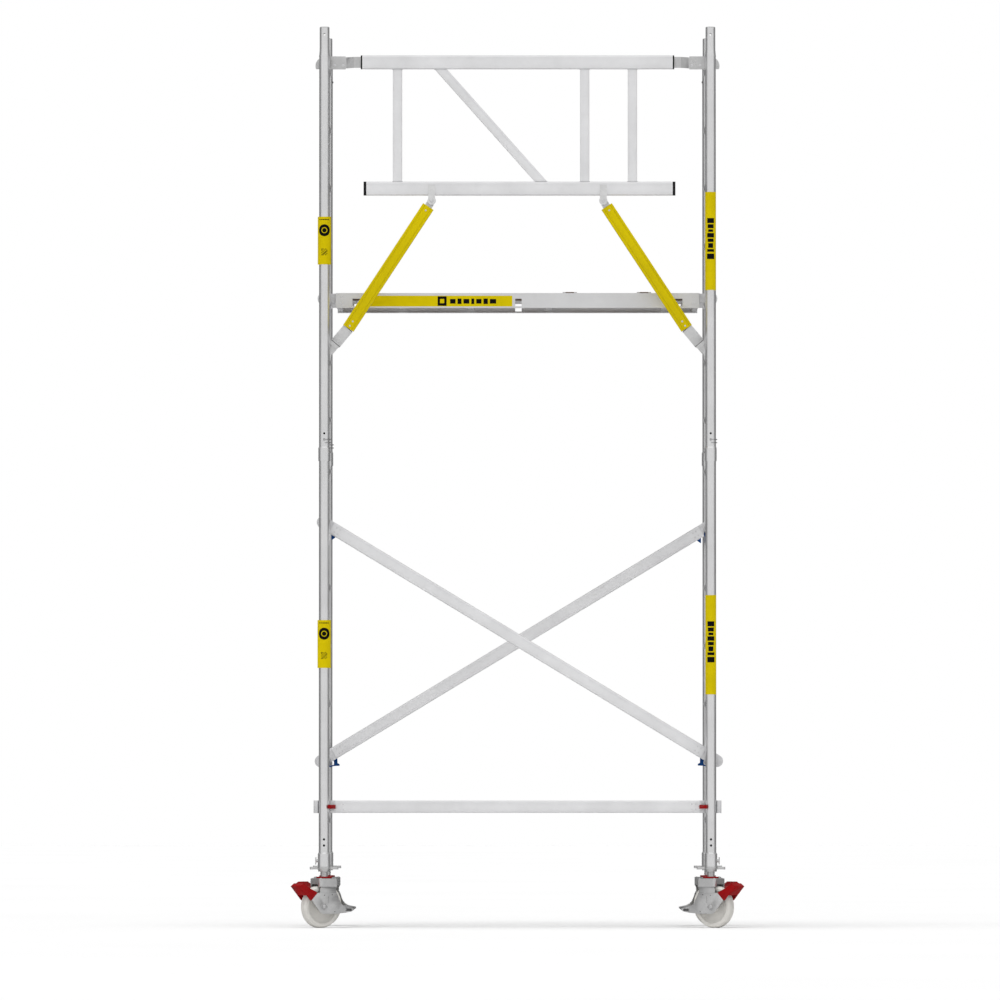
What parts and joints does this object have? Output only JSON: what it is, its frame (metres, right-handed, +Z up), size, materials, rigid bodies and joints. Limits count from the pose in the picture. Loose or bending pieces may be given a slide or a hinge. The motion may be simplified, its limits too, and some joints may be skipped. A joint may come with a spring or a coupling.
{
  "type": "mobile tower scaffold",
  "caption": "Narrow aluminium scaffold tower on braked swivel castors, with crossed braces, a hatch platform and a front guardrail held by two struts.",
  "frame": {"origin": "on the ground, under the middle of the four posts", "axes": "+X right along the bay, +Y to the back, +Z up; the guardrail is at -Y"},
  "size_m": [2.1556, 0.9598, 4.292],
  "materials": {
    "frame_aluminium": "drawn tube, satin",
    "extruded_aluminium": "mill finish, satin",
    "zinc_steel": "zinc plated, dull",
    "wheel_nylon": "cast nylon, matte",
    "red_plastic": "smooth moulded",
    "blue_plastic": "smooth moulded",
    "yellow_paint": "powder coat, satin",
    "black_plastic": "moulded, fine grain",
    "deck_ply": "phenolic film, wire-mesh print"
  },
  "bodies": {
    "root": {"diagonal_claws": "extruded_aluminium", "diagonal_tubes": "extruded_aluminium", "guardrail_brackets": "zinc_steel", "guardrail_end_caps": "black_plastic", "guardrail_rails": "extruded_aluminium", "guardrail_uprights": "extruded_aluminium", "hatch_hinge": "zinc_steel", "horizontal_claws": "extruded_aluminium", "horizontal_tube": "extruded_aluminium", "interlock_clips": "zinc_steel", "joint_spigots": "extruded_aluminium", "knuckle_straps": "zinc_steel", "leg_lock_bolts": "zinc_steel", "lower_posts": "frame_aluminium", "lower_rungs": "frame_aluminium", "platform_cross_beams": "extruded_aluminium", "platform_deck": "deck_ply", "platform_hooks": "extruded_aluminium", "platform_side_beams": "extruded_aluminium", "upper_posts": "frame_aluminium", "upper_rungs": "frame_aluminium"},
    "leg_front_left": {"spindle_front_left": "zinc_steel"},
    "nut_front_left": {"wing_nut_front_left": "zinc_steel"},
    "swivel_front_left": {"castor_fork_front_left": "zinc_steel", "cover_ring_front_left": "red_plastic"},
    "roller_front_left": {"wheel_front_left": "wheel_nylon"},
    "brake_front_left": {"brake_rocker_front_left": "zinc_steel", "brake_pedal_front_left": "red_plastic"},
    "leg_front_right": {"spindle_front_right": "zinc_steel"},
    "nut_front_right": {"wing_nut_front_right": "zinc_steel"},
    "swivel_front_right": {"castor_fork_front_right": "zinc_steel", "cover_ring_front_right": "red_plastic"},
    "roller_front_right": {"wheel_front_right": "wheel_nylon"},
    "brake_front_right": {"brake_rocker_front_right": "zinc_steel", "brake_pedal_front_right": "red_plastic"},
    "leg_back_left": {"spindle_back_left": "zinc_steel"},
    "nut_back_left": {"wing_nut_back_left": "zinc_steel"},
    "swivel_back_left": {"castor_fork_back_left": "zinc_steel", "cover_ring_back_left": "red_plastic"},
    "roller_back_left": {"wheel_back_left": "wheel_nylon"},
    "brake_back_left": {"brake_rocker_back_left": "zinc_steel", "brake_pedal_back_left": "red_plastic"},
    "leg_back_right": {"spindle_back_right": "zinc_steel"},
    "nut_back_right": {"wing_nut_back_right": "zinc_steel"},
    "swivel_back_right": {"castor_fork_back_right": "zinc_steel", "cover_ring_back_right": "red_plastic"},
    "roller_back_right": {"wheel_back_right": "wheel_nylon"},
    "brake_back_right": {"brake_rocker_back_right": "zinc_steel", "brake_pedal_back_right": "red_plastic"},
    "hatch": {"hatch_lid": "deck_ply"},
    "strut_left_body": {"strut_left": "yellow_paint", "strut_fittings_left": "zinc_steel"},
    "strut_right_body": {"strut_right": "yellow_paint", "strut_fittings_right": "zinc_steel"},
    "latch_front_low": {"diagonal_latch_front_low": "blue_plastic"},
    "latch_front_high": {"diagonal_latch_front_high": "blue_plastic"},
    "latch_back_low": {"diagonal_latch_back_low": "blue_plastic"},
    "latch_back_high": {"diagonal_latch_back_high": "blue_plastic"},
    "latch_horizontal_left": {"horizontal_latch_left": "red_plastic"},
    "latch_horizontal_right": {"horizontal_latch_right": "red_plastic"}
  },
  "joints": [
    {"name": "leg_extend_front_left", "type": "slide", "parent": "root", "child": "leg_front_left", "axis": [0, 0, -1], "range_m": [0, 0.2]},
    {"name": "nut_turn_front_left", "type": "hinge", "parent": "root", "child": "nut_front_left", "pos_m": [-0.92, -0.35, 0.278], "axis": [0, 0, 1], "continuous": true},
    {"name": "swivel_turn_front_left", "type": "hinge", "parent": "leg_front_left", "child": "swivel_front_left", "pos_m": [-0.92, -0.35, 0.236], "axis": [0, 0, 1], "continuous": true},
    {"name": "wheel_spin_front_left", "type": "hinge", "parent": "swivel_front_left", "child": "roller_front_left", "pos_m": [-0.93942, -0.36411, 0.1], "axis": [0.5878, -0.809, 0], "continuous": true},
    {"name": "brake_press_front_left", "type": "hinge", "parent": "swivel_front_left", "child": "brake_front_left", "pos_m": [-0.93942, -0.36411, 0.1], "axis": [0.5878, -0.809, 0], "range_deg": [0, 8]},
    {"name": "leg_extend_front_right", "type": "slide", "parent": "root", "child": "leg_front_right", "axis": [0, 0, -1], "range_m": [0, 0.2]},
    {"name": "nut_turn_front_right", "type": "hinge", "parent": "root", "child": "nut_front_right", "pos_m": [0.92, -0.35, 0.278], "axis": [0, 0, 1], "continuous": true},
    {"name": "swivel_turn_front_right", "type": "hinge", "parent": "leg_front_right", "child": "swivel_front_right", "pos_m": [0.92, -0.35, 0.236], "axis": [0, 0, 1], "continuous": true},
    {"name": "wheel_spin_front_right", "type": "hinge", "parent": "swivel_front_right", "child": "roller_front_right", "pos_m": [0.93942, -0.36411, 0.1], "axis": [0.5878, 0.809, 0], "continuous": true},
    {"name": "brake_press_front_right", "type": "hinge", "parent": "swivel_front_right", "child": "brake_front_right", "pos_m": [0.93942, -0.36411, 0.1], "axis": [0.5878, 0.809, 0], "range_deg": [0, 8]},
    {"name": "leg_extend_back_left", "type": "slide", "parent": "root", "child": "leg_back_left", "axis": [0, 0, -1], "range_m": [0, 0.2]},
    {"name": "nut_turn_back_left", "type": "hinge", "parent": "root", "child": "nut_back_left", "pos_m": [-0.92, 0.35, 0.278], "axis": [0, 0, 1], "continuous": true},
    {"name": "swivel_turn_back_left", "type": "hinge", "parent": "leg_back_left", "child": "swivel_back_left", "pos_m": [-0.92, 0.35, 0.236], "axis": [0, 0, 1], "continuous": true},
    {"name": "wheel_spin_back_left", "type": "hinge", "parent": "swivel_back_left", "child": "roller_back_left", "pos_m": [-0.93942, 0.36411, 0.1], "axis": [-0.5878, -0.809, 0], "continuous": true},
    {"name": "brake_press_back_left", "type": "hinge", "parent": "swivel_back_left", "child": "brake_back_left", "pos_m": [-0.93942, 0.36411, 0.1], "axis": [-0.5878, -0.809, 0], "range_deg": [0, 8]},
    {"name": "leg_extend_back_right", "type": "slide", "parent": "root", "child": "leg_back_right", "axis": [0, 0, -1], "range_m": [0, 0.2]},
    {"name": "nut_turn_back_right", "type": "hinge", "parent": "root", "child": "nut_back_right", "pos_m": [0.92, 0.35, 0.278], "axis": [0, 0, 1], "continuous": true},
    {"name": "swivel_turn_back_right", "type": "hinge", "parent": "leg_back_right", "child": "swivel_back_right", "pos_m": [0.92, 0.35, 0.236], "axis": [0, 0, 1], "continuous": true},
    {"name": "wheel_spin_back_right", "type": "hinge", "parent": "swivel_back_right", "child": "roller_back_right", "pos_m": [0.93942, 0.36411, 0.1], "axis": [-0.5878, 0.809, 0], "continuous": true},
    {"name": "brake_press_back_right", "type": "hinge", "parent": "swivel_back_right", "child": "brake_back_right", "pos_m": [0.93942, 0.36411, 0.1], "axis": [-0.5878, 0.809, 0], "range_deg": [0, 8]},
    {"name": "hatch_open", "type": "hinge", "parent": "root", "child": "hatch", "pos_m": [0.4275, -0.193, 3.031], "axis": [1, 0, 0], "range_deg": [0, 95]},
    {"name": "strut_swing_left", "type": "hinge", "parent": "root", "child": "strut_left_body", "pos_m": [-0.409, -0.352, 3.461], "axis": [0, -1, 0], "range_deg": [0, 50]},
    {"name": "strut_swing_right", "type": "hinge", "parent": "root", "child": "strut_right_body", "pos_m": [0.409, -0.352, 3.461], "axis": [0, 1, 0], "range_deg": [0, 50]},
    {"name": "latch_front_low_open", "type": "hinge", "parent": "root", "child": "latch_front_low", "pos_m": [0.882, -0.3, 0.807], "axis": [0, 1, 0], "range_deg": [0, 35], "stiffness_Nm_per_rad": 0.05, "springref_deg": -34.38},
    {"name": "latch_front_high_open", "type": "hinge", "parent": "root", "child": "latch_front_high", "pos_m": [-0.889, -0.3, 1.919], "axis": [0, -1, 0], "range_deg": [0, 35], "stiffness_Nm_per_rad": 0.05, "springref_deg": -34.38},
    {"name": "latch_back_low_open", "type": "hinge", "parent": "root", "child": "latch_back_low", "pos_m": [-0.882, 0.3, 0.807], "axis": [0, -1, 0], "range_deg": [0, 35], "stiffness_Nm_per_rad": 0.05, "springref_deg": -34.38},
    {"name": "latch_back_high_open", "type": "hinge", "parent": "root", "child": "latch_back_high", "pos_m": [0.889, 0.3, 1.919], "axis": [0, 1, 0], "range_deg": [0, 35], "stiffness_Nm_per_rad": 0.05, "springref_deg": -34.38},
    {"name": "latch_horizontal_left_open", "type": "hinge", "parent": "root", "child": "latch_horizontal_left", "pos_m": [-0.871, -0.338, 0.575], "axis": [0, 0, 1], "range_deg": [0, 40], "stiffness_Nm_per_rad": 0.05, "springref_deg": -34.38},
    {"name": "latch_horizontal_right_open", "type": "hinge", "parent": "root", "child": "latch_horizontal_right", "pos_m": [0.871, -0.338, 0.575], "axis": [0, 0, -1], "range_deg": [0, 40], "stiffness_Nm_per_rad": 0.05, "springref_deg": -34.38}
  ]
}
